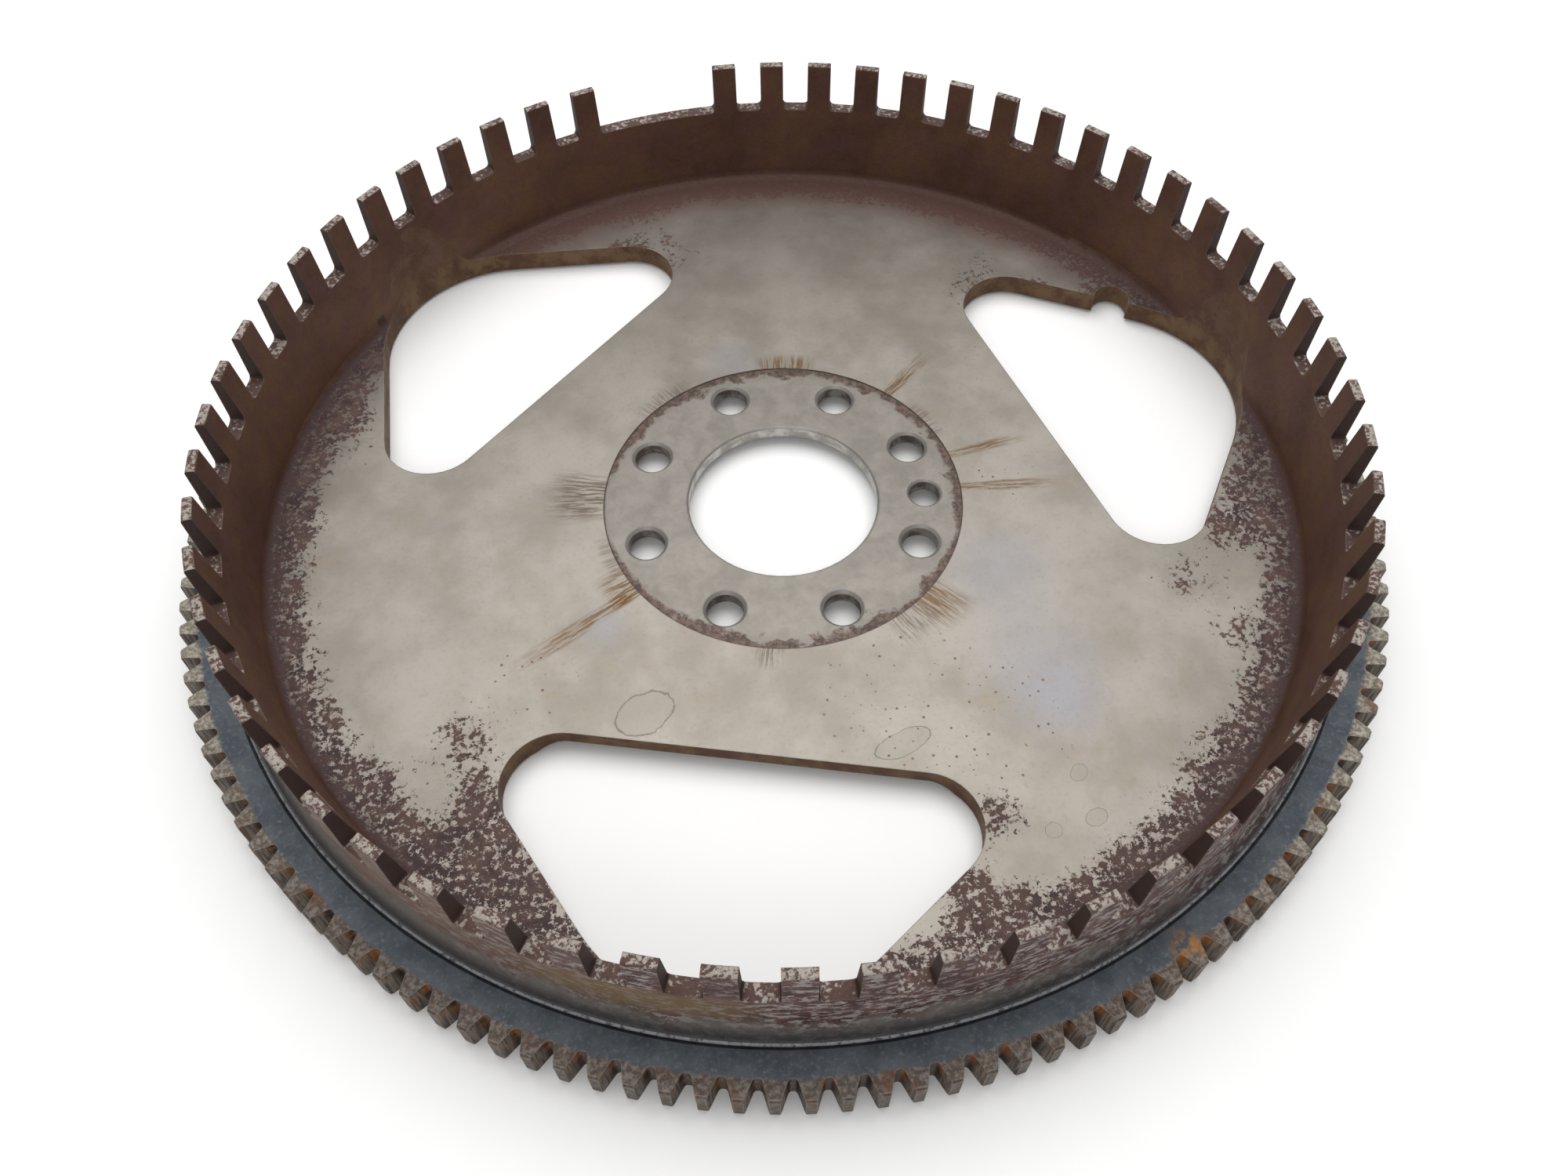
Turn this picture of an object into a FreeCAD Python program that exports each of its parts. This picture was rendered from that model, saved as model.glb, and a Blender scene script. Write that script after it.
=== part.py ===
import FreeCAD, Part
import math
import os

# Engine drive plate: a pressed and machined steel pan with a crown of trigger teeth,
# and a starter ring gear shrunk onto the foot of the pan's wall.
# Millimetres. +Z runs along the crankshaft axis, out of the pan's open side.
# z = 0 is the hub face that bolts against the crankshaft flange, and the axis is x = y = 0.
# +X points along the middle of the window that has the notch.

# Hub
PILOT_RADIUS = 27.5
PILOT_CHAMFER = 0.6
HUB_THICKNESS = 4.1
CLAMP_FACE_RADIUS = 52.0
CLAMP_FACE_DEPTH = 0.3
BOLT_CIRCLE_RADIUS = 42.0
BOLT_HOLE_RADIUS = 5.2
BOLT_CHAMFER = 0.9
BOLT_ANGLES = [5.0, 45.0, 90.0, 135.0, 180.0, 225.0, 270.0, 315.0]
DOWEL_CIRCLE_RADIUS = 41.3
DOWEL_ANGLE = -20.3
DOWEL_HOLE_RADIUS = 4.5
DOWEL_CHAMFER = 0.65

# Web and wall
WEB_TOP = HUB_THICKNESS + CLAMP_FACE_DEPTH
RIM_UNDERSIDE = -2.2
UNDERSIDE_TAPER_START = 97.0
UNDERSIDE_TAPER_END = 102.0
CROWN_TOP = WEB_TOP + 40.0
WALL_INNER_FOOT_RADIUS = 147.0
WALL_INNER_TOP_RADIUS = 152.0
WALL_OUTER_FOOT_RADIUS = 154.0
WALL_OUTER_TOP_RADIUS = 154.8
WALL_FILLET = 3.0
WALL_FLARE_RADIUS = 156.2
WALL_FLARE_HEIGHT = 6.0
WALL_FLARE_ROUND = 10.0
CROWN_OUTER_ROUND = 0.8
CROWN_INNER_ROUND = 0.6
FOOT_CHAMFER = 1.2

# Seat of the ring gear on the foot of the wall
SEAT_RADIUS = 157.2
SEAT_LEDGE = 0.6
SEAT_LEDGE_CHAMFER = 0.5

# Trigger teeth: a pitch of 60 with two left out
TRIGGER_PITCH = 6.0
TRIGGER_COUNT = 58
TRIGGER_TOOTH_WIDTH = 7.6
TRIGGER_TOOTH_HEIGHT = 15.3
TRIGGER_ROOT_ROUND = 1.5
FIRST_TRIGGER_TOOTH = 74.56
TRIGGER_CUTTER_RADII = (140.0, 170.0)

# Windows, evenly spaced. The last one opens wider on its anticlockwise side.
WINDOW_COUNT = 3
WINDOW_INNER_EDGE = 83.8
WINDOW_INNER_HALF_WIDTH = 78.0
WINDOW_SIDE_ANGLE = 47.4
WINDOW_WIDE_SIDE_ANGLE = 51.5
WINDOW_OUTER_REACH = 149.9
WINDOW_CUT_BELOW_CROWN = 0.6
WINDOW_CORNER_RADIUS = 14.7
NOTCH_CIRCLE_RADIUS = 136.2
NOTCH_ANGLE = 15.0
NOTCH_RADIUS = 5.5

# Starter ring gear
GEAR_MODULE = 2.5
GEAR_TEETH = 133
GEAR_PRESSURE_ANGLE = 20.0
GEAR_PROFILE_SHIFT = 0.33
GEAR_TIP_RADIUS = 169.0
GEAR_ROOT_RADIUS = 163.9
GEAR_ROOT_ROUND = 1.0
GEAR_TOP = WEB_TOP + 3.0
GEAR_WIDTH = 10.6
GEAR_TIP_CHAMFER = 0.6
GEAR_BORE_CHAMFER = 0.8
GEAR_FIRST_GAP = 1.65

# How far cutters run past the faces they break through
CUTTER_OVERRUN = 10.0
GEAR_CUTTER_OVERRUN = 1.0

# Lengths below this count as nothing
TOLERANCE = 1e-4

Z_AXIS = FreeCAD.Vector(0, 0, 1)
ORIGIN = FreeCAD.Vector(0, 0, 0)


def polar(radius, angle, z=0.0):
    """Point at a radius and an angle in degrees about the axis."""
    turn = math.radians(angle)
    return FreeCAD.Vector(radius * math.cos(turn), radius * math.sin(turn), z)


def turned(outline):
    """Solid of revolution of a closed outline of (radius, z) points about the axis."""
    points = [FreeCAD.Vector(radius, 0, z) for radius, z in outline]
    face = Part.Face(Part.makePolygon(points + points[:1]))
    return face.revolve(ORIGIN, Z_AXIS, 360)


def round_corner(wire_points, corner, radius):
    """Points (start, middle, end) of the arc that rounds one corner of an outline."""
    before = wire_points[corner - 1]
    here = wire_points[corner]
    after = wire_points[(corner + 1) % len(wire_points)]
    to_before = (before - here).normalize()
    to_after = (after - here).normalize()
    half = to_before.getAngle(to_after) / 2
    reach = radius / math.tan(half)
    bisector = (to_before + to_after).normalize()
    centre = here + bisector * (radius / math.sin(half))
    return here + to_before * reach, centre - bisector * radius, here + to_after * reach


def rounded_face(points, radii):
    """Planar face of a closed outline, each corner rounded by its own radius, or sharp at 0."""
    edges = []
    ends = []
    for corner, radius in enumerate(radii):
        if radius > 0:
            start, middle, end = round_corner(points, corner, radius)
            edges.append(Part.Arc(start, middle, end).toShape())
            ends.append((start, end))
        else:
            ends.append((points[corner], points[corner]))
    for corner in range(len(points)):
        start = ends[corner][1]
        end = ends[(corner + 1) % len(points)][0]
        if start.distanceToPoint(end) > TOLERANCE:
            edges.append(Part.LineSegment(start, end).toShape())
    return Part.Face(Part.Wire(Part.__sortEdges__(edges)))


def hole_cutter(radius, chamfer, centre):
    """Drill through the hub with a chamfer where it breaks out at the clamp face."""
    drill_base = centre + FreeCAD.Vector(0, 0, -CUTTER_OVERRUN)
    drill = Part.makeCylinder(radius, HUB_THICKNESS + 2 * CUTTER_OVERRUN, drill_base, Z_AXIS)
    sink_base = centre + FreeCAD.Vector(0, 0, HUB_THICKNESS - chamfer)
    sink = Part.makeCone(radius, radius + 2 * chamfer, 2 * chamfer, sink_base, Z_AXIS)
    return drill.fuse(sink)


def pan_blank():
    """Turned blank of the pan: hub, web, leaning wall, flared foot and seat, with no openings."""
    ledge = GEAR_TOP + SEAT_LEDGE
    corners = [
        (PILOT_RADIUS, 0, 0),
        (UNDERSIDE_TAPER_START, 0, 0),
        (UNDERSIDE_TAPER_END, RIM_UNDERSIDE, 0),
        (SEAT_RADIUS - FOOT_CHAMFER, RIM_UNDERSIDE, 0),
        (SEAT_RADIUS, RIM_UNDERSIDE + FOOT_CHAMFER, 0),
        (SEAT_RADIUS, ledge - SEAT_LEDGE_CHAMFER, 0),
        (SEAT_RADIUS - SEAT_LEDGE_CHAMFER, ledge, 0),
        (WALL_FLARE_RADIUS, ledge, 0),
        (WALL_OUTER_FOOT_RADIUS, ledge + WALL_FLARE_HEIGHT, WALL_FLARE_ROUND),
        (WALL_OUTER_TOP_RADIUS, CROWN_TOP, CROWN_OUTER_ROUND),
        (WALL_INNER_TOP_RADIUS, CROWN_TOP, CROWN_INNER_ROUND),
        (WALL_INNER_FOOT_RADIUS, WEB_TOP, WALL_FILLET),
        (CLAMP_FACE_RADIUS, WEB_TOP, 0),
        (CLAMP_FACE_RADIUS, HUB_THICKNESS, 0),
        (PILOT_RADIUS + PILOT_CHAMFER, HUB_THICKNESS, 0),
        (PILOT_RADIUS, HUB_THICKNESS - PILOT_CHAMFER, 0),
    ]
    points = [FreeCAD.Vector(radius, 0, z) for radius, z, _ in corners]
    section = rounded_face(points, [rounding for _, _, rounding in corners])
    return section.revolve(ORIGIN, Z_AXIS, 360)


def hub_holes():
    """Bolt holes, one of them off its regular place, and the dowel hole."""
    cutters = [
        hole_cutter(BOLT_HOLE_RADIUS, BOLT_CHAMFER, polar(BOLT_CIRCLE_RADIUS, angle))
        for angle in BOLT_ANGLES
    ]
    dowel_centre = polar(DOWEL_CIRCLE_RADIUS, DOWEL_ANGLE)
    cutters.append(hole_cutter(DOWEL_HOLE_RADIUS, DOWEL_CHAMFER, dowel_centre))
    return cutters


def window_cutter(side_angle, low, height):
    """Cutter of one window on +X, whose anticlockwise side leans out by the given angle."""
    slope = math.tan(math.radians(side_angle))
    plain_slope = math.tan(math.radians(WINDOW_SIDE_ANGLE))
    depth = 2 * WINDOW_INNER_HALF_WIDTH / (1 / slope + 1 / plain_slope)
    apex = FreeCAD.Vector(
        WINDOW_INNER_EDGE + depth,
        WINDOW_INNER_HALF_WIDTH - depth / slope,
        low,
    )
    points = [
        FreeCAD.Vector(WINDOW_INNER_EDGE, WINDOW_INNER_HALF_WIDTH, low),
        FreeCAD.Vector(WINDOW_INNER_EDGE, -WINDOW_INNER_HALF_WIDTH, low),
        apex,
    ]
    half_apex = math.radians(180 - side_angle - WINDOW_SIDE_ANGLE) / 2
    crest = apex.x - WINDOW_OUTER_REACH
    outer_radius = crest * math.sin(half_apex) / (1 - math.sin(half_apex))
    radii = [WINDOW_CORNER_RADIUS, WINDOW_CORNER_RADIUS, outer_radius]
    return rounded_face(points, radii).extrude(FreeCAD.Vector(0, 0, height))


def window_cutters():
    """Three rounded windows that run into the leaning wall, and the notch in the first one."""
    low = RIM_UNDERSIDE - CUTTER_OVERRUN
    height = CROWN_TOP - TRIGGER_TOOTH_HEIGHT - WINDOW_CUT_BELOW_CROWN - low
    side_angles = [WINDOW_SIDE_ANGLE] * (WINDOW_COUNT - 1) + [WINDOW_WIDE_SIDE_ANGLE]
    cutters = []
    for index, side_angle in enumerate(side_angles):
        window = window_cutter(side_angle, low, height)
        window.rotate(ORIGIN, Z_AXIS, 360 / WINDOW_COUNT * index)
        cutters.append(window)
    notch_centre = polar(NOTCH_CIRCLE_RADIUS, NOTCH_ANGLE, low)
    cutters.append(Part.makeCylinder(NOTCH_RADIUS, height, notch_centre, Z_AXIS))
    return cutters


def trigger_slot(centre_angle, half_pitch):
    """Cutter of the slot between two trigger teeth, whose sides are parallel to each tooth."""
    floor = CROWN_TOP - TRIGGER_TOOTH_HEIGHT
    top = CROWN_TOP + CUTTER_OVERRUN
    sections = []
    for radius in TRIGGER_CUTTER_RADII:
        turn = math.radians(half_pitch)
        half = radius * math.tan(turn) - TRIGGER_TOOTH_WIDTH / 2 / math.cos(turn)
        points = [
            FreeCAD.Vector(radius, -half, floor),
            FreeCAD.Vector(radius, half, floor),
            FreeCAD.Vector(radius, half, top),
            FreeCAD.Vector(radius, -half, top),
        ]
        radii = [TRIGGER_ROOT_ROUND, TRIGGER_ROOT_ROUND, 0, 0]
        sections.append(rounded_face(points, radii).OuterWire)
    slot = Part.makeLoft(sections, True, True)
    slot.rotate(ORIGIN, Z_AXIS, centre_angle)
    return slot


def trigger_slots():
    """All slots of the crown: one between each pair of teeth and the wide one at the gap."""
    half = TRIGGER_PITCH / 2
    cutters = [
        trigger_slot(FIRST_TRIGGER_TOOTH - half - TRIGGER_PITCH * index, half)
        for index in range(TRIGGER_COUNT - 1)
    ]
    gap = (360 - TRIGGER_PITCH * (TRIGGER_COUNT - 1)) / 2
    cutters.append(trigger_slot(FIRST_TRIGGER_TOOTH + gap, gap))
    return cutters


def drive_plate():
    """The whole one-piece pan."""
    pan = pan_blank().cut(hub_holes() + window_cutters())
    return pan.cut(trigger_slots())


def involute_half_angle(radius):
    """Half of a gear tooth's angular thickness at a radius, in degrees."""
    pressure = math.radians(GEAR_PRESSURE_ANGLE)
    pitch_radius = GEAR_MODULE * GEAR_TEETH / 2
    base_radius = pitch_radius * math.cos(pressure)
    thickness = GEAR_MODULE * (math.pi / 2 + 2 * GEAR_PROFILE_SHIFT * math.tan(pressure))
    local = math.acos(base_radius / radius)
    involute_pitch = math.tan(pressure) - pressure
    involute_local = math.tan(local) - local
    half_angle = thickness / 2 / pitch_radius + involute_pitch - involute_local
    return math.degrees(half_angle)


def gear_gap():
    """Cutter of one gap between two gear teeth, centred on +X."""
    half_pitch = 180 / GEAR_TEETH
    low = GEAR_TOP - GEAR_WIDTH - GEAR_CUTTER_OVERRUN
    outer = GEAR_TIP_RADIUS + GEAR_CUTTER_OVERRUN
    edge = half_pitch - involute_half_angle(outer)
    root = half_pitch - involute_half_angle(GEAR_ROOT_RADIUS)
    points = [
        polar(outer, -edge, low),
        polar(GEAR_ROOT_RADIUS, -root, low),
        polar(GEAR_ROOT_RADIUS, root, low),
        polar(outer, edge, low),
    ]
    face = rounded_face(points, [0, GEAR_ROOT_ROUND, GEAR_ROOT_ROUND, 0])
    return face.extrude(FreeCAD.Vector(0, 0, GEAR_WIDTH + 2 * GEAR_CUTTER_OVERRUN))


def starter_ring_gear():
    """Ring with external teeth, chamfered at the tips on both faces and at the top of its bore."""
    bottom = GEAR_TOP - GEAR_WIDTH
    blank = turned([
        (SEAT_RADIUS, bottom),
        (GEAR_TIP_RADIUS - GEAR_TIP_CHAMFER, bottom),
        (GEAR_TIP_RADIUS, bottom + GEAR_TIP_CHAMFER),
        (GEAR_TIP_RADIUS, GEAR_TOP - GEAR_TIP_CHAMFER),
        (GEAR_TIP_RADIUS - GEAR_TIP_CHAMFER, GEAR_TOP),
        (SEAT_RADIUS + GEAR_BORE_CHAMFER, GEAR_TOP),
        (SEAT_RADIUS, GEAR_TOP - GEAR_BORE_CHAMFER),
    ])
    gaps = []
    gap = gear_gap()
    for index in range(GEAR_TEETH):
        copy = gap.copy()
        copy.rotate(ORIGIN, Z_AXIS, GEAR_FIRST_GAP + 360 / GEAR_TEETH * index)
        gaps.append(copy)
    return blank.cut(gaps)


def main():
    os.makedirs("parts", exist_ok=True)
    nodes = {
        "drive_plate": drive_plate(),
        "starter_ring_gear": starter_ring_gear(),
    }
    for name, shape in nodes.items():
        if not shape.isValid() or len(shape.Solids) != 1:
            raise SystemExit(name + " is not one valid solid")
        shape.Solids[0].exportStep("parts/" + name + ".step")
        print(name, "volume", round(shape.Volume), "mm3")


main()
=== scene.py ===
import math

import bpy
from mathutils import Matrix, Vector


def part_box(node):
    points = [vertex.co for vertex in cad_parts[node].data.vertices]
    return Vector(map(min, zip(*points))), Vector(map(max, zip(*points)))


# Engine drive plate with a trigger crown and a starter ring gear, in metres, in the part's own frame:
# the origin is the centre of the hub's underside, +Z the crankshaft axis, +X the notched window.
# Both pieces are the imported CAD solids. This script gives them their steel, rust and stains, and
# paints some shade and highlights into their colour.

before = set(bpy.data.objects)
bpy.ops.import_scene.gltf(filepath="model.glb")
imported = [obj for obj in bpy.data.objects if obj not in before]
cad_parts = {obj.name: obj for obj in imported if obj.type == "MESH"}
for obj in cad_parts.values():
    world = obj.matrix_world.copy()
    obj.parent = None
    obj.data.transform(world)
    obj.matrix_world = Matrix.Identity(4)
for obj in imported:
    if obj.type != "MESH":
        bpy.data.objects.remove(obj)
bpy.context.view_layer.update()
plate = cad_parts["drive_plate"]
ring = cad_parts["starter_ring_gear"]
_, plate_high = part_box("drive_plate")
ring_low, ring_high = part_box("starter_ring_gear")

MM = 0.001

# Radii and heights of the pan and ring, from the same driving dimensions as the CAD
TRIGGER_TOOTH_HEIGHT = 15.3 * MM
SEAT_LEDGE = 0.6 * MM
HUB_RADIUS = 52.0 * MM
WALL_OUTER = 154.0 * MM
FOOT_RADIUS = 156.2 * MM
SEAT_RADIUS = plate_high.x
TOOTH_ROOT = 163.9 * MM
LEDGE_TOP = ring_high.z + SEAT_LEDGE
CROWN_FLOOR = plate_high.z - TRIGGER_TOOTH_HEIGHT

# Radii that part the upright faces inside them from those outside, with none nearby
PILOT_ZONE = 30 * MM
HOLE_ZONE = 61 * MM
SEAT_ZONE = 160.5 * MM

# Length of pattern that one radian round the part takes up: the shorter, the more drawn out
STREAK_SPREAD = 60 * MM
SCRATCH_SPREAD = 85 * MM
BRUSH_SPREAD = 20 * MM

# Bare steel mirrors the bright surroundings, so its base colour is darker than it looks
METAL_GAIN = 0.64


def rgb(red, green, blue):
    """Linear colour of an sRGB colour given from 0 to 255."""
    linear = []
    for value in (red, green, blue):
        share = value / 255
        linear.append(share / 12.92 if share <= 0.04045 else ((share + 0.055) / 1.055) ** 2.4)
    return (*linear, 1.0)


def metal(red, green, blue):
    """Base colour of bare steel that looks like the given sRGB colour under the studio light."""
    red, green, blue, alpha = rgb(red, green, blue)
    return (METAL_GAIN * red, METAL_GAIN * green, METAL_GAIN * blue, alpha)


class Shader:
    """One node material, with short calls that add a node and give its output."""

    def __init__(self, name):
        self.material = bpy.data.materials.new(name)
        self.material.use_nodes = True
        self.tree = self.material.node_tree
        self.tree.nodes.clear()
        self.output = self.tree.nodes.new("ShaderNodeOutputMaterial")
        self.surface = self.tree.nodes.new("ShaderNodeBsdfPrincipled")
        self.tree.links.new(self.surface.outputs["BSDF"], self.output.inputs["Surface"])
        coordinates = self.tree.nodes.new("ShaderNodeTexCoord")
        self.place = coordinates.outputs["Object"]
        self.normal = coordinates.outputs["Normal"]

    def plug(self, value, socket):
        """Link an output to a socket, or set the socket to a plain value."""
        if isinstance(value, bpy.types.NodeSocket):
            self.tree.links.new(value, socket)
        else:
            socket.default_value = value

    def math(self, operation, first, second=0.0, clamp=False):
        """Number made from one or two numbers."""
        node = self.tree.nodes.new("ShaderNodeMath")
        node.operation = operation
        node.use_clamp = clamp
        self.plug(first, node.inputs[0])
        self.plug(second, node.inputs[1])
        return node.outputs[0]

    def vector(self, operation, first, second=(0.0, 0.0, 0.0)):
        """Vector or number made from one or two vectors."""
        node = self.tree.nodes.new("ShaderNodeVectorMath")
        node.operation = operation
        self.plug(first, node.inputs[0])
        self.plug(second, node.inputs[1])
        return node.outputs["Value" if operation in ("DOT_PRODUCT", "LENGTH") else "Vector"]

    def times(self, *factors):
        """Product of several masks."""
        product = factors[0]
        for factor in factors[1:]:
            product = self.math("MULTIPLY", product, factor)
        return product

    def total(self, *terms):
        """Sum of several masks, kept between 0 and 1."""
        result = terms[0]
        for term in terms[1:]:
            result = self.math("ADD", result, term, clamp=True)
        return result

    def inverse(self, mask):
        """Mask that is 1 where the given mask is 0."""
        return self.math("SUBTRACT", 1.0, mask, clamp=True)

    def step(self, value, start, end):
        """Smooth change from 0 at start to 1 at end, where start may be the larger."""
        node = self.tree.nodes.new("ShaderNodeMapRange")
        node.interpolation_type = "SMOOTHSTEP"
        low, high = (start, end) if start < end else (end, start)
        self.plug(value, node.inputs["Value"])
        node.inputs["From Min"].default_value = low
        node.inputs["From Max"].default_value = high
        node.inputs["To Min"].default_value = 0.0 if start < end else 1.0
        node.inputs["To Max"].default_value = 1.0 if start < end else 0.0
        return node.outputs["Result"]

    def band(self, value, low, high, soft):
        """1 between low and high, fading to 0 over the soft width on both sides."""
        rise = self.step(value, low - soft, low + soft)
        fall = self.step(value, high + soft, high - soft)
        return self.times(rise, fall)

    def combine(self, x, y, z):
        """Vector of three numbers."""
        node = self.tree.nodes.new("ShaderNodeCombineXYZ")
        for value, socket in zip((x, y, z), node.inputs):
            self.plug(value, socket)
        return node.outputs[0]

    def separate(self, value):
        """The three numbers of a vector."""
        node = self.tree.nodes.new("ShaderNodeSeparateXYZ")
        self.plug(value, node.inputs[0])
        return node.outputs

    def noise(self, size, detail=4.0, roughness=0.55, distortion=0.0, place=None):
        """Fractal noise whose largest features are about size metres across."""
        node = self.tree.nodes.new("ShaderNodeTexNoise")
        self.plug(self.place if place is None else place, node.inputs["Vector"])
        node.inputs["Scale"].default_value = 1 / size
        node.inputs["Detail"].default_value = detail
        node.inputs["Roughness"].default_value = roughness
        node.inputs["Distortion"].default_value = distortion
        return node.outputs["Fac"]

    def mix(self, mask, first, second):
        """Colour that goes from first to second with the mask."""
        node = self.tree.nodes.new("ShaderNodeMix")
        node.data_type = "RGBA"
        self.plug(mask, node.inputs["Factor"])
        self.plug(first, node.inputs[6])
        self.plug(second, node.inputs[7])
        return node.outputs[2]

    def blend(self, mask, first, second):
        """Number that goes from first to second with the mask."""
        node = self.tree.nodes.new("ShaderNodeMix")
        node.data_type = "FLOAT"
        self.plug(mask, node.inputs["Factor"])
        self.plug(first, node.inputs[2])
        self.plug(second, node.inputs[3])
        return node.outputs[0]

    def bevelled_edges(self, radius):
        """(normal with rounded edges, mask that is 1 on sharp edges)."""
        node = self.tree.nodes.new("ShaderNodeBevel")
        node.samples = 4
        node.inputs["Radius"].default_value = radius
        geometry = self.tree.nodes.new("ShaderNodeNewGeometry")
        likeness = self.vector("DOT_PRODUCT", node.outputs[0], geometry.outputs["Normal"])
        return node.outputs[0], self.step(likeness, 0.995, 0.93)

    def bump(self, height, distance, normal=None):
        """Normal of a surface with relief, on top of another normal where one is given."""
        node = self.tree.nodes.new("ShaderNodeBump")
        node.inputs["Distance"].default_value = distance
        self.plug(height, node.inputs["Height"])
        if normal is not None:
            self.plug(normal, node.inputs["Normal"])
        return node.outputs["Normal"]

    def finish(self, colour, roughness, metallic, normal, specular=0.5):
        """Plug everything into the surface and give the finished material."""
        self.plug(colour, self.surface.inputs["Base Color"])
        self.plug(roughness, self.surface.inputs["Roughness"])
        self.plug(metallic, self.surface.inputs["Metallic"])
        self.plug(normal, self.surface.inputs["Normal"])
        self.surface.inputs["Specular IOR Level"].default_value = specular
        return self.material


class RoundShader(Shader):
    """Shader of a turned piece: it knows each point's radius, angle, height and way to the back."""

    def __init__(self, name):
        super().__init__(name)
        x, self.far, self.height = self.separate(self.place)
        self.flat = self.combine(x, self.far, 0.0)
        self.radius = self.vector("LENGTH", self.flat)
        self.angle = self.math("ARCTAN2", self.far, x)
        outward = self.vector("NORMALIZE", self.flat)
        self.facing_out = self.vector("DOT_PRODUCT", self.normal, outward)
        self.facing_up = self.separate(self.normal)[2]

    def spot(self, angle, radius, size, squash=1.0, turn=0.0):
        """Round or oval patch, 1 at its middle and 0 at its rim, at polar coordinates on the web."""
        direction = math.radians(angle)
        centre = Vector((radius * math.cos(direction), radius * math.sin(direction), 0.0))
        node = self.tree.nodes.new("ShaderNodeMapping")
        node.vector_type = "TEXTURE"
        node.inputs["Location"].default_value = centre
        node.inputs["Rotation"].default_value = (0.0, 0.0, math.radians(turn))
        node.inputs["Scale"].default_value = (size, size * squash, 1.0)
        self.plug(self.flat, node.inputs["Vector"])
        return self.step(self.vector("LENGTH", node.outputs[0]), 1.0, 0.0)

    def sector(self, angle, half_width, soft=0.4):
        """1 within a half width of an angle, both in degrees, and 0 away from it."""
        nearness = self.math("COSINE", self.math("SUBTRACT", self.angle, math.radians(angle)))
        inner = math.cos(math.radians(half_width * (1 - soft)))
        outer = math.cos(math.radians(half_width * (1 + soft)))
        return self.step(nearness, outer, inner)


# Radial rust streaks that start at the hub's edge: angle and half width in degrees, end radius,
# strength, and whether the rust is orange
STREAKS = [
    (157.0, 6.5, 71 * MM, 0.9, False),
    (184.0, 9.0, 57 * MM, 0.5, False),
    (196.6, 1.5, 99 * MM, 1.0, True),
    (192.5, 4.5, 63 * MM, 0.9, True),
    (-4.8, 1.2, 80 * MM, 1.0, True),
    (-18.8, 1.3, 86 * MM, 1.0, True),
    (29.0, 1.6, 77 * MM, 1.0, True),
    (12.0, 6.0, 56 * MM, 0.6, False),
    (66.5, 7.0, 59 * MM, 1.0, True),
    (110.0, 8.0, 58 * MM, 0.6, False),
    (-63.0, 4.5, 67 * MM, 1.0, True),
    (-73.0, 5.0, 64 * MM, 0.7, False),
    (243.5, 3.0, 60 * MM, 0.7, False),
]

# Places where the rust speckle is dense: angle, radius, size and strength
RUST_SPOTS = [
    (149, 128 * MM, 16 * MM, 0.40),
    (132, 126 * MM, 13 * MM, 0.75),
    (143, 134 * MM, 13 * MM, 0.55),
    (160, 138 * MM, 16 * MM, 0.30),
    (212, 128 * MM, 20 * MM, 1.00),
    (202, 114 * MM, 19 * MM, 0.72),
    (208, 120 * MM, 14 * MM, 0.40),
    (218, 138 * MM, 22 * MM, 0.90),
    (200, 134 * MM, 14 * MM, 0.35),
    (240, 138 * MM, 16 * MM, 0.35),
    (-85, 114 * MM, 15 * MM, 0.80),
    (-93, 126 * MM, 14 * MM, 0.85),
    (-88, 135 * MM, 14 * MM, 0.40),
    (-60, 136 * MM, 18 * MM, 0.25),
    (-37, 116 * MM, 20 * MM, 0.62),
    (-44, 129 * MM, 15 * MM, 0.40),
    (-28, 127 * MM, 15 * MM, 1.00),
    (-22, 136 * MM, 18 * MM, 0.80),
    (33, 105 * MM, 14 * MM, 0.60),
    (34, 119 * MM, 14 * MM, 0.55),
    (24, 119 * MM, 14 * MM, 1.00),
    (16, 130 * MM, 12 * MM, 0.80),
    (22, 84 * MM, 8 * MM, 0.40),
    (86, 112 * MM, 18 * MM, 0.55),
    (94, 119 * MM, 14 * MM, 1.00),
    (88, 127 * MM, 14 * MM, 0.40),
]

# Where small round rust dots are scattered over the clean web: angle, radius and size
DOT_AREAS = [
    (-88, 74 * MM, 30 * MM),
    (-76, 92 * MM, 26 * MM),
    (-16, 66 * MM, 12 * MM),
    (200, 92 * MM, 18 * MM),
]

# Faint grey-blue patches of thin oxide on the web
BLUE_PATCHES = [
    (-46, 66 * MM, 24 * MM),
    (-62, 88 * MM, 26 * MM),
    (-66, 100 * MM, 18 * MM),
    (200, 66 * MM, 10 * MM),
    (83, 58 * MM, 12 * MM),
]

# Dried drops: angle, radius, size, share of that size across, turn in degrees
WATER_MARKS = [
    (220.6, 80.5 * MM, 8.0 * MM, 0.72, 10),
    (-92.0, 86.2 * MM, 8.0 * MM, 0.42, 5),
    (-75.6, 127.3 * MM, 3.0 * MM, 0.7, 10),
    (-80.5, 124.0 * MM, 2.2 * MM, 0.9, 0),
    (-73.0, 116.0 * MM, 2.6 * MM, 0.8, 30),
]

# Stretches of the hub's edge with the most dirt: angle, half width in degrees and strength
HUB_DIRT = [
    (-106, 26, 1.0),
    (-68, 20, 0.9),
    (-16, 14, 1.0),
    (18, 26, 0.8),
    (75, 22, 0.9),
    (118, 22, 0.8),
    (208, 20, 0.7),
]


def rust_density(s):
    """How much of the web the speckle covers: most at the rim and in chosen places."""
    density = s.step(s.radius, 126 * MM, 144 * MM)
    for angle, radius, size, strength in RUST_SPOTS:
        density = s.math("ADD", density, s.times(s.spot(angle, radius, size), strength))
    uneven = s.blend(s.step(s.middle, 0.35, 0.65), 0.72, 1.2)
    return s.math("MINIMUM", s.times(density, uneven), 0.80)


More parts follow.
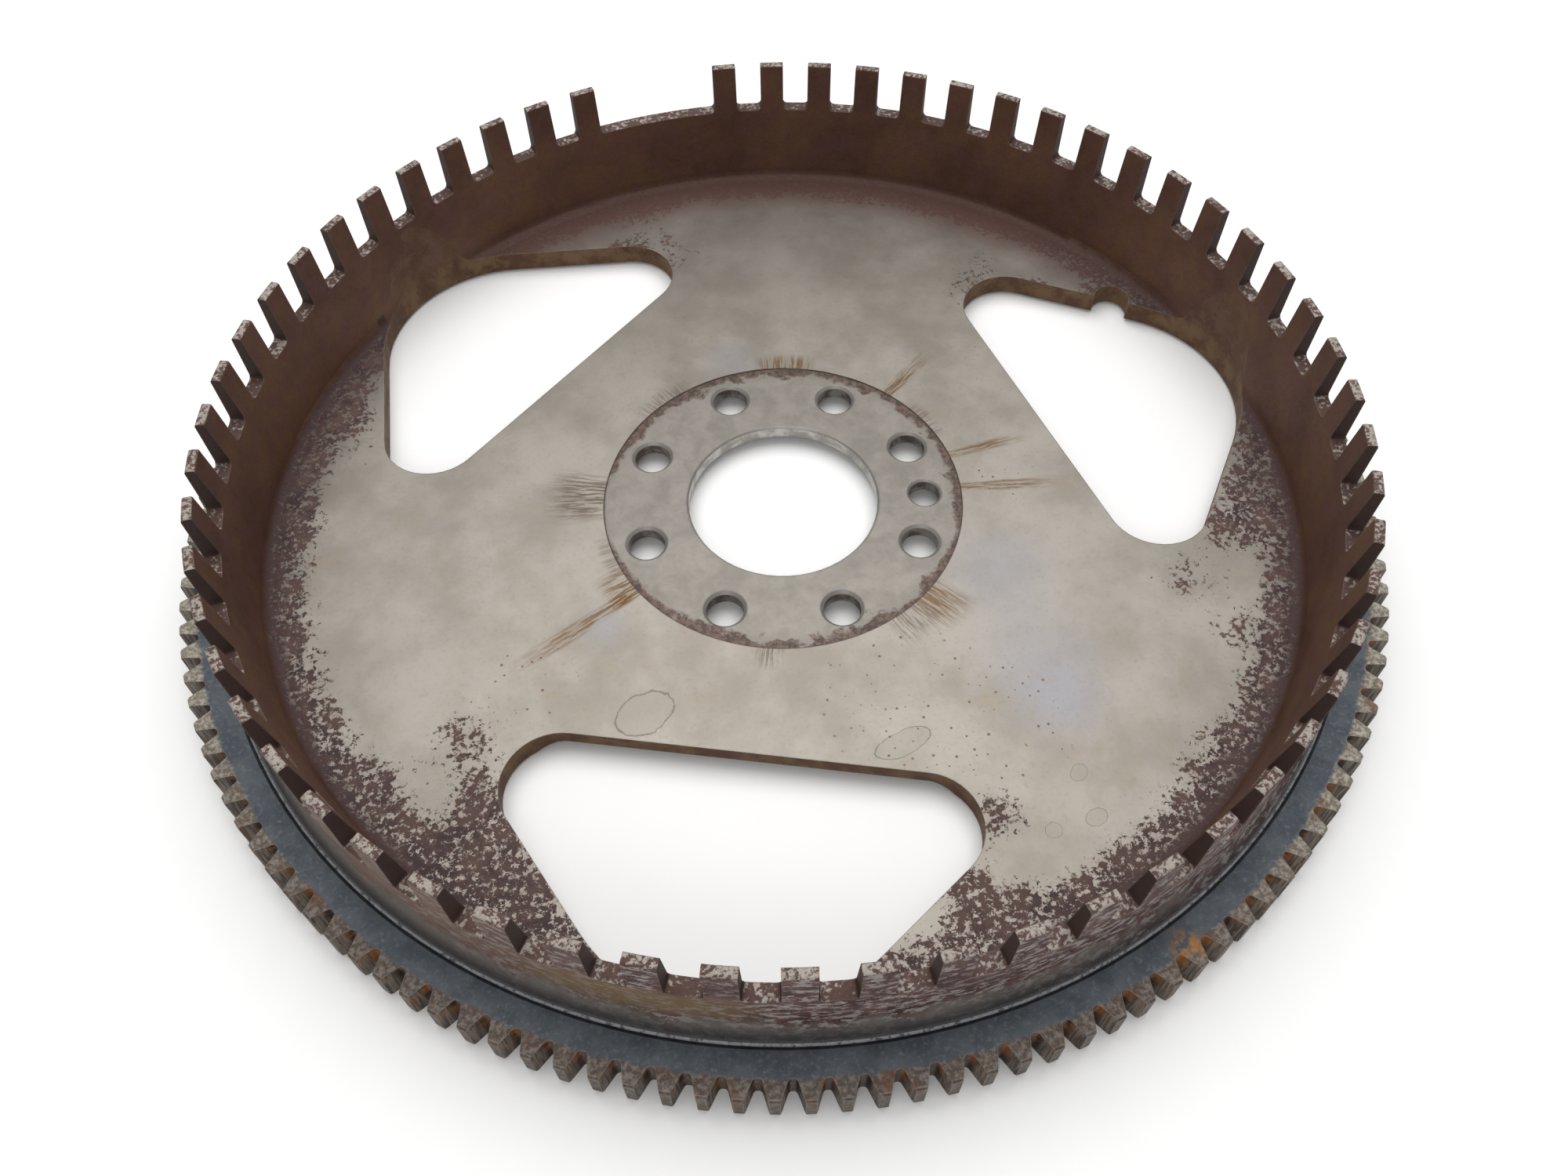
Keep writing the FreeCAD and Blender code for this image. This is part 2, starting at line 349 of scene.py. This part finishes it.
def speckle(s, density):
    """Ragged flecks that cover a growing share of the surface as the density rises."""
    fleck = s.noise(1.6 * MM, 5.0, 0.78, 0.2)
    threshold = s.math("SUBTRACT", 0.74, s.times(density, 0.35))
    return s.step(s.math("SUBTRACT", fleck, threshold), -0.01, 0.025)


def rust_dots(s):
    """Small round dots of various sizes, in the chosen areas only."""
    node = s.tree.nodes.new("ShaderNodeTexVoronoi")
    node.voronoi_dimensions = "2D"
    s.plug(s.flat, node.inputs["Vector"])
    node.inputs["Scale"].default_value = 1 / (2.6 * MM)
    size = s.step(s.separate(node.outputs["Color"])[0], 0.5, 1.3)
    dot = s.math("LESS_THAN", node.outputs["Distance"], s.times(size, 0.24))
    area = 0.0
    for angle, radius, reach in DOT_AREAS:
        area = s.math("ADD", area, s.spot(angle, radius, reach), clamp=True)
    return s.times(dot, s.step(area, 0.02, 0.3))


def streak_masks(s):
    """(orange streaks, brown streaks) running outward from the hub's edge."""
    across = s.math("ADD", s.times(s.angle, STREAK_SPREAD), s.times(s.middle, 1.2 * MM))
    lines = s.noise(0.7 * MM, 3.0, 0.6, place=s.combine(across, s.times(s.radius, 0.07), 0.0))
    thin = s.step(lines, 0.42, 0.56)
    orange, brown = 0.0, 0.0
    for angle, half_width, end, strength, is_orange in STREAKS:
        fade = s.step(s.radius, end, end - 0.6 * (end - HUB_RADIUS))
        mask = s.times(s.sector(angle, half_width, 0.6), fade, strength)
        if is_orange:
            orange = s.math("ADD", orange, mask)
        else:
            brown = s.math("ADD", brown, mask)
    soft = s.blend(thin, 0.2, 1.0)
    beyond_hub = s.step(s.radius, HUB_RADIUS - 0.2 * MM, HUB_RADIUS + 0.2 * MM)
    return s.times(orange, soft, beyond_hub), s.times(brown, thin, beyond_hub)


def water_marks(s):
    """(thin dark outlines of dried drops, the inside of each)."""
    outline, inside = 0.0, 0.0
    wobble = s.times(s.math("SUBTRACT", s.middle, 0.5), 0.5)
    for angle, radius, size, squash, turn in WATER_MARKS:
        depth = s.math("ADD", s.spot(angle, radius, size * 1.6, squash, turn), wobble)
        outline = s.math("ADD", outline, s.band(depth, 0.30, 0.34, 0.03))
        inside = s.math("ADD", inside, s.step(depth, 0.30, 0.36))
    return outline, inside


def hub_dirt(s):
    """Dark fringe of old dirt just inside the edge of the clamp face, thick in some stretches."""
    thick = 0.0
    for angle, half_width, strength in HUB_DIRT:
        thick = s.math("ADD", thick, s.times(s.sector(angle, half_width, 0.7), strength))
    reach = s.times(s.blend(thick, 3 * MM, 15 * MM), s.math("SUBTRACT", s.middle, 0.26))
    depth = s.math("ADD", s.math("SUBTRACT", s.radius, HUB_RADIUS), reach)
    fringe = s.step(depth, -0.4 * MM, 1.3 * MM)
    inside = s.step(s.radius, HUB_RADIUS + 0.1 * MM, HUB_RADIUS - 0.2 * MM)
    return s.times(fringe, inside)


def bare_steel(s, hub):
    """Uneven grey of the clean web and hub, with painted shade darkening it towards the far side."""
    colour = s.mix(s.step(s.broad, 0.3, 0.7), metal(150, 143, 133), metal(178, 171, 161))
    blue = 0.0
    for angle, radius, size in BLUE_PATCHES:
        blue = s.math("ADD", blue, s.spot(angle, radius, size))
    colour = s.mix(s.times(blue, 0.5), colour, metal(160, 160, 167))
    tan = s.times(s.step(s.middle, 0.5, 0.72), s.step(s.broad, 0.6, 0.4), 0.35)
    colour = s.mix(tan, colour, metal(158, 145, 124))
    hub_tone = s.mix(s.step(s.middle, 0.3, 0.7), metal(140, 135, 127), metal(158, 152, 144))
    colour = s.mix(hub, colour, hub_tone)
    colour = s.mix(s.times(s.step(s.fine, 0.5, 0.8), 0.25), colour, metal(118, 111, 102))
    # Painted shade: the web and hub grow darker towards the far side.
    return s.mix(s.times(s.step(s.far, 30 * MM, 120 * MM), 0.4), colour, metal(112, 104, 97))


def web_colour(s, hub):
    """Colour of the flat web and hub, seen from above, before the rust speckle."""
    colour = bare_steel(s, hub)
    outline, inside = water_marks(s)
    colour = s.mix(s.times(inside, 0.35), colour, metal(154, 150, 138))
    colour = s.mix(s.times(outline, 0.8), colour, metal(92, 88, 76))
    orange, brown = streak_masks(s)
    colour = s.mix(s.times(orange, 0.85), colour, rgb(94, 70, 42))
    colour = s.mix(s.times(brown, 0.85), colour, rgb(76, 60, 48))
    dirt = s.mix(s.step(s.fine, 0.4, 0.6), rgb(50, 39, 37), rgb(90, 70, 60))
    colour = s.mix(s.times(hub_dirt(s), 0.85), colour, dirt)
    edge_line = s.band(s.radius, HUB_RADIUS - 0.1 * MM, HUB_RADIUS + 0.1 * MM, 0.2 * MM)
    colour = s.mix(s.times(edge_line, 0.8), colour, rgb(52, 42, 40))
    return s.mix(s.times(rust_dots(s), s.inverse(hub), 0.85), colour, rgb(94, 68, 54))


def rusty_rim(s, hub, colour):
    """(colour with the speckle and the dark rim of rust and painted shade by the wall, flecks, dark
    rim).
    """
    density = s.times(rust_density(s), s.inverse(hub))
    flecks = speckle(s, density)
    rust = s.mix(s.step(s.middle, 0.35, 0.65), rgb(64, 48, 50), rgb(92, 70, 64))
    haze = s.times(s.step(density, 0.45, 1.0), 0.35)
    colour = s.mix(haze, colour, rgb(118, 98, 92))
    colour = s.mix(flecks, colour, rust)
    # Dark rim by the wall: rust together with painted shade in the corner at the wall's foot,
    # reaching furthest in on the far side.
    ragged = s.math("ADD", s.radius, s.times(s.math("SUBTRACT", s.middle, 0.5), 6 * MM))
    far_side = s.sector(68, 48, 0.35)
    narrow = s.step(ragged, 142 * MM, 146.5 * MM)
    wide = s.step(ragged, 124 * MM, 140 * MM)
    rim_rust_and_shade = s.blend(far_side, narrow, wide)
    rim_tone = s.mix(far_side, rgb(70, 52, 50), rgb(94, 68, 62))
    return s.mix(s.times(rim_rust_and_shade, 0.92), colour, rim_tone), flecks, rim_rust_and_shade


def inner_wall(s):
    """Inside of the wall: smooth dark rust, browner in places and darker towards its foot, with one
    dark drip mark.
    """
    colour = s.mix(s.step(s.broad, 0.35, 0.65), rgb(80, 54, 42), rgb(98, 70, 50))
    colour = s.mix(s.times(s.step(s.middle, 0.42, 0.62), 0.6), colour, rgb(92, 60, 56))
    # Darker towards the wall's foot.
    colour = s.mix(s.times(s.step(s.height, 9 * MM, 5 * MM), 0.5), colour, rgb(56, 36, 30))
    mark = s.times(s.sector(128.3, 0.62, 0.3), s.band(s.height, 5.6 * MM, 8.4 * MM, 0.8 * MM))
    return s.mix(s.times(mark, 0.8), colour, rgb(52, 34, 30))


def upright_faces(s, in_pilot_bore):
    """Wall, brown cut faces of the windows, dull bolt holes and bare pilot bore."""
    wall = inner_wall(s)
    cut = s.mix(s.step(s.middle, 0.38, 0.64), rgb(84, 58, 42), rgb(108, 84, 60))
    cut = s.mix(s.times(s.step(s.height, 4 * MM, 9 * MM), 0.6), cut, wall)
    colour = s.mix(s.step(s.facing_up, 0.07, 0.11), cut, wall)
    uneven = s.step(s.middle, 0.4, 0.6)
    bolt_hole = s.mix(uneven, rgb(84, 72, 64), rgb(132, 126, 120))
    pilot_bore = s.mix(uneven, rgb(150, 146, 140), rgb(192, 188, 182))
    in_hole = s.step(s.radius, HOLE_ZONE + 1 * MM, HOLE_ZONE - 1 * MM)
    return s.mix(in_hole, colour, s.mix(in_pilot_bore, bolt_hole, pilot_bore))


def outer_wall(s):
    """(colour, shine) of the wall's outer face: worn scratches over brown, and a smooth grey foot
    with painted shade darkening it towards the ledge.
    """
    place = s.combine(s.times(s.angle, SCRATCH_SPREAD), s.height, 0.0)
    scratch = s.noise(2.0 * MM, 5.0, 0.72, place=place)
    silver = s.times(s.step(scratch, 0.49, 0.57), s.step(s.broad, 0.30, 0.50))
    brown = s.mix(s.step(s.middle, 0.35, 0.65), rgb(66, 44, 44), rgb(96, 70, 66))
    olive = s.times(s.sector(-125, 7, 0.8), s.band(s.height, 15 * MM, 30 * MM, 3 * MM))
    brown = s.mix(s.times(olive, 0.9), brown, rgb(112, 92, 66))
    worn = s.times(silver, s.inverse(s.times(olive, 0.6)), 0.9)
    colour = s.mix(worn, brown, rgb(152, 146, 142))
    colour = s.mix(s.times(s.sector(-167, 30, 0.5), 0.7), colour, rgb(118, 98, 84))

    around = s.combine(s.times(s.angle, WALL_OUTER), s.times(s.height, 0.2), 0.0)
    soft_streaks = s.noise(9 * MM, 2.0, 0.5, place=around)
    edge = s.math("ADD", s.height, s.times(s.math("SUBTRACT", soft_streaks, 0.5), 14 * MM))
    strength = s.blend(s.sector(-140, 58, 0.35), 0.25, 1.0)
    foot = s.times(s.step(edge, 17 * MM, 11 * MM), strength)
    # Painted shade: the grey foot darkens towards the ledge below it.
    grey = s.mix(s.step(s.height, 14 * MM, 8.5 * MM), rgb(120, 116, 110), rgb(70, 70, 72))
    return s.mix(s.times(foot, 0.85), colour, grey), s.times(foot, 0.5)


def crown(s, up, colour):
    """(colour with brown, flecked tooth tops and slot floors and painted shade on the tooth sides,
    bare flecks).
    """
    grain = s.math("ADD", s.times(s.fine, 0.65), s.times(s.middle, 0.35))
    on_floor = s.step(s.height, CROWN_FLOOR + 3 * MM, CROWN_FLOOR + 1 * MM)
    grain = s.math("SUBTRACT", grain, s.times(on_floor, 0.05))
    flecked = s.step(grain, 0.46, 0.54)
    tops = s.times(s.step(s.height, CROWN_FLOOR - 0.5 * MM, CROWN_FLOOR - 0.1 * MM), up)
    colour = s.mix(tops, colour, s.mix(flecked, rgb(88, 66, 60), rgb(166, 158, 150)))
    # Painted shade: the teeth's sides between tops and slot floors are made dark.
    across = s.inverse(s.step(s.math("ABSOLUTE", s.facing_out), 0.3, 0.6))
    above_floor = s.step(s.height, CROWN_FLOOR, CROWN_FLOOR + 0.5 * MM)
    shaded_tooth_side = s.times(s.inverse(up), above_floor, across)
    return s.mix(s.times(shaded_tooth_side, 0.9), colour, rgb(54, 38, 34)), s.times(tops, flecked)


def seat_ledge(s, colour):
    """(colour with the dark ledge above the ring gear and a painted highlight along its rim, the
    ledge).
    """
    beyond_wall = s.step(s.radius, FOOT_RADIUS - 0.1 * MM, FOOT_RADIUS + 0.1 * MM)
    ledge = s.times(beyond_wall, s.step(s.height, LEDGE_TOP - 1 * MM, LEDGE_TOP - 0.7 * MM))
    rim = s.step(s.radius, SEAT_RADIUS - 0.62 * MM, SEAT_RADIUS - 0.45 * MM)
    # Painted highlight: a broken bright line along the ledge's rim.
    rim_highlight = s.times(rim, s.step(s.fine, 0.36, 0.5), 0.8)
    return s.mix(ledge, colour, s.mix(rim_highlight, rgb(84, 85, 88), rgb(158, 160, 162))), ledge


def underside(s, colour):
    """Colour with the unseen underside: plain rolled steel with light rust."""
    rust = s.times(s.step(s.middle, 0.52, 0.6), s.step(s.radius, 60 * MM, 130 * MM))
    tone = s.mix(s.step(s.broad, 0.3, 0.7), metal(134, 127, 117), metal(156, 148, 138))
    return s.mix(s.step(s.facing_up, -0.5, -0.7), colour, s.mix(rust, tone, rgb(86, 64, 54)))


def worn_and_highlit_edges(s, edges, colour):
    """Colour with paler edges on the crown and round the windows, from wear and from painted
    highlight.
    """
    on_crown = s.times(edges, s.step(s.height, CROWN_FLOOR - 1 * MM, CROWN_FLOOR), 0.35)
    colour = s.mix(on_crown, colour, rgb(150, 138, 126))
    at_window = s.times(edges, s.band(s.radius, 60 * MM, 146 * MM, 1 * MM), 0.3)
    return s.mix(at_window, colour, rgb(176, 168, 156))


def pan_steel():
    """Steel of the pan: clean web and hub, speckled rim, rusty wall and worn crown, with painted
    shade and highlights.
    """
    s = RoundShader("pan_steel_worn_painted_light")
    rounded, edges = s.bevelled_edges(0.45 * MM)
    s.broad = s.noise(24 * MM, 4.0, 0.6)
    s.middle = s.noise(6.5 * MM, 4.0, 0.62, 0.3)
    s.fine = s.noise(1.2 * MM, 3.0, 0.65)
    up = s.step(s.facing_up, 0.5, 0.8)
    side = s.inverse(up)
    hub = s.step(s.radius, HUB_RADIUS, HUB_RADIUS - 0.3 * MM)
    in_pilot_bore = s.step(s.radius, PILOT_ZONE + 1 * MM, PILOT_ZONE - 1 * MM)

    colour, flecks, rim_rust_and_shade = rusty_rim(s, hub, web_colour(s, hub))
    colour = s.mix(side, colour, upright_faces(s, in_pilot_bore))
    on_hub = s.step(s.radius, HUB_RADIUS + 1 * MM, HUB_RADIUS - 1 * MM)
    # Hole chamfers on the hub: bare machined steel, made paler still as painted highlight.
    bare_lit_chamfer = s.times(s.band(s.facing_up, 0.55, 0.86, 0.04), on_hub)
    colour = s.mix(s.times(bare_lit_chamfer, 0.6), colour, metal(196, 192, 186))
    beyond_teeth = s.step(s.radius, WALL_OUTER - 1 * MM, WALL_OUTER - 0.5 * MM)
    outside = s.times(s.step(s.facing_out, 0.3, 0.6), beyond_teeth)
    outer, shine = outer_wall(s)
    colour = s.mix(outside, colour, outer)
    colour, bare_flecks = crown(s, up, colour)
    colour, ledge = seat_ledge(s, colour)
    colour = worn_and_highlit_edges(s, edges, underside(s, colour))

    rusty = s.total(s.times(side, s.inverse(in_pilot_bore)), rim_rust_and_shade, flecks)
    polished = s.times(outside, shine)
    roughness = s.blend(rusty, s.blend(s.broad, 0.36, 0.5), 0.66)
    roughness = s.blend(s.total(polished, ledge), roughness, 0.38)
    metallic = s.blend(rusty, 0.75, 0.05)
    metallic = s.blend(s.total(polished, bare_flecks), metallic, 0.5)
    relief = s.total(s.times(flecks, 0.6), s.times(s.fine, 0.25))
    return s.finish(colour, roughness, metallic, s.bump(relief, 0.06 * MM, rounded), 0.25)


def tooth_tone(s, near):
    """Colour of the teeth's flat faces: pale tan, but darker on the near side as painted shade, and
    rusty there too.
    """
    dark = s.mix(s.step(s.fine, 0.4, 0.65), rgb(74, 64, 58), rgb(112, 104, 96))
    light = s.mix(s.step(s.fine, 0.4, 0.65), rgb(114, 106, 94), rgb(166, 160, 148))
    rust = s.times(s.step(s.middle, 0.54, 0.64), s.step(s.far, 0.0, -60 * MM), 0.6)
    # Painted shade: the near side takes the dark tone; the rust over it is the ring's own.
    return s.mix(rust, s.mix(near, light, dark), rgb(96, 60, 42))


def gear_gap(s, near):
    """Colour between the teeth: rust and painted shade at the root, brushed grey towards the tip,
    with the near side's flanks pulled towards the root colour as painted shade.
    """
    lengthwise = s.combine(s.radius, s.times(s.angle, BRUSH_SPREAD), s.times(s.height, 0.06))
    brushed = s.noise(0.5 * MM, 2.0, 0.6, place=lengthwise)
    flank = s.mix(s.step(brushed, 0.35, 0.65), rgb(66, 56, 48), rgb(128, 120, 110))
    # The root colour is rust darkened with painted shade in the gaps.
    root_rust_and_shade = s.mix(s.step(s.middle, 0.35, 0.6), rgb(38, 30, 27), rgb(62, 46, 37))
    high = s.step(s.height, -2 * MM, 5 * MM)
    orange = s.times(s.step(s.middle, 0.42, 0.56), high, s.sector(-100, 70, 0.4), 0.85)
    root_rust_and_shade = s.mix(orange, root_rust_and_shade, rgb(150, 92, 40))
    beside_tooth = s.step(s.radius, TOOTH_ROOT + 0.9 * MM, TOOTH_ROOT + 2.4 * MM)
    # On the near side the flanks lean a quarter of the way to the root colour as painted shade.
    return s.mix(beside_tooth, root_rust_and_shade, s.mix(s.times(near, 0.25), flank, root_rust_and_shade))


def ring_steel():
    """Steel of the starter ring: slate face, grey-brown teeth, brushed flanks, rust in the gaps,
    painted shade in the gaps and on the near side, and paler edges.
    """
    s = RoundShader("ring_steel_worn_painted_light")
    rounded, edges = s.bevelled_edges(0.35 * MM)
    s.fine = s.noise(1.2 * MM, 4.0, 0.7)
    s.middle = s.noise(6 * MM, 4.0, 0.62)
    side = s.inverse(s.step(s.facing_up, 0.45, 0.75))
    # The near side of the ring, which gets painted shade on its teeth and flanks.
    near = s.sector(-118, 48, 0.4)
    face = s.mix(s.step(s.middle, 0.3, 0.7), rgb(64, 70, 77), rgb(86, 92, 98))
    face = s.mix(s.times(s.step(s.fine, 0.5, 0.72), 0.4), face, rgb(122, 124, 126))
    tone = tooth_tone(s, near)
    wander = s.math("ADD", s.times(s.middle, 2.4 * MM), s.times(s.fine, 1.2 * MM))
    wandering = s.math("ADD", s.radius, wander)
    tooth_zone = s.step(wandering, TOOTH_ROOT + 1.2 * MM, TOOTH_ROOT + 2.6 * MM)
    colour = s.mix(tooth_zone, face, tone)

    upright = s.mix(s.step(s.facing_out, 0.8, 0.95), gear_gap(s, near), tone)
    at_seat = s.step(s.radius, SEAT_ZONE + 0.5 * MM, SEAT_ZONE - 0.5 * MM)
    colour = s.mix(side, colour, s.mix(at_seat, upright, face))
    stain = s.times(s.spot(-78.4, 163.5 * MM, 5.5 * MM), s.step(s.middle, 0.36, 0.5))
    colour = s.mix(stain, colour, rgb(166, 110, 38))
    # Paler edges: wear together with painted highlight.
    colour = s.mix(s.times(edges, 0.55), colour, rgb(168, 162, 152))
    roughness = s.blend(side, s.blend(s.middle, 0.4, 0.56), 0.6)
    metallic = s.blend(side, 0.5, 0.2)
    relief = s.total(s.times(s.fine, 0.5), s.times(s.middle, 0.5))
    return s.finish(colour, roughness, metallic, s.bump(relief, 0.05 * MM, rounded), 0.3)


def floor_material():
    """Nearly white matt floor."""
    s = Shader("pale_floor")
    shade = s.noise(0.6, 2.0)
    colour = s.mix(shade, rgb(248, 248, 247), rgb(251, 251, 250))
    return s.finish(colour, 0.85, 0.0, s.bump(shade, 0.02 * MM))


def make_floor():
    """Pale floor a hair's breadth under the lowest face, the ring gear's underside."""
    half = 3.0
    gap = 0.02 * MM
    z = ring_low.z - gap
    mesh = bpy.data.meshes.new("floor")
    corners = [(-half, -half, z), (half, -half, z), (half, half, z), (-half, half, z)]
    mesh.from_pydata(corners, [], [(0, 1, 2, 3)])
    floor = bpy.data.objects.new("floor", mesh)
    bpy.context.scene.collection.objects.link(floor)
    mesh.materials.append(floor_material())


def aim(thing, place, target, roll=0.0):
    """Put a camera or light at a place, looking at a target, turned about its view line."""
    back = (place - target).normalized()
    right = Vector((0, 0, 1)).cross(back).normalized()
    up = back.cross(right)
    turn = Matrix((right, up, back)).transposed() @ Matrix.Rotation(math.radians(roll), 3, "Z")
    thing.matrix_world = Matrix.Translation(place) @ turn.to_4x4()


def make_camera():
    """The photograph's view: from the side opposite the crown's gap, 55 degrees above the web."""
    azimuth = math.radians(-112.4)
    elevation = math.radians(54.94)
    distance = 357.5 * MM
    target = Vector((-12.25, -29.84, 4.4)) * MM
    direction = Vector((
        math.cos(elevation) * math.cos(azimuth),
        math.cos(elevation) * math.sin(azimuth),
        math.sin(elevation),
    ))
    data = bpy.data.cameras.new("camera")
    data.sensor_width = 36.0
    data.lens = 29.69
    data.clip_start = 0.01
    camera = bpy.data.objects.new("camera", data)
    bpy.context.scene.collection.objects.link(camera)
    aim(camera, target + direction * distance, target, -0.52)
    bpy.context.scene.camera = camera


def make_light(name, place, size, power):
    """Rectangular lamp that looks at the part's middle."""
    data = bpy.data.lights.new(name, "AREA")
    data.shape = "RECTANGLE"
    data.size, data.size_y = size
    data.energy = power
    light = bpy.data.objects.new(name, data)
    bpy.context.scene.collection.objects.link(light)
    aim(light, Vector(place), Vector((0.0, 0.0, 0.0)))


def make_world():
    """Even white light from all sides."""
    world = bpy.data.worlds.new("studio")
    world.use_nodes = True
    background = world.node_tree.nodes["Background"]
    background.inputs["Color"].default_value = (1.0, 1.0, 1.0, 1.0)
    background.inputs["Strength"].default_value = 0.52
    bpy.context.scene.world = world


plate.material_slots[0].material = pan_steel()
ring.material_slots[0].material = ring_steel()
make_floor()
make_camera()
make_world()
make_light("overhead", (0.2, 0.5, 1.4), (1.6, 1.2), 17.6)
make_light("front", (-0.7, -1.2, 1.2), (1.0, 0.8), 5.0)
bpy.context.scene.view_settings.view_transform = "Standard"
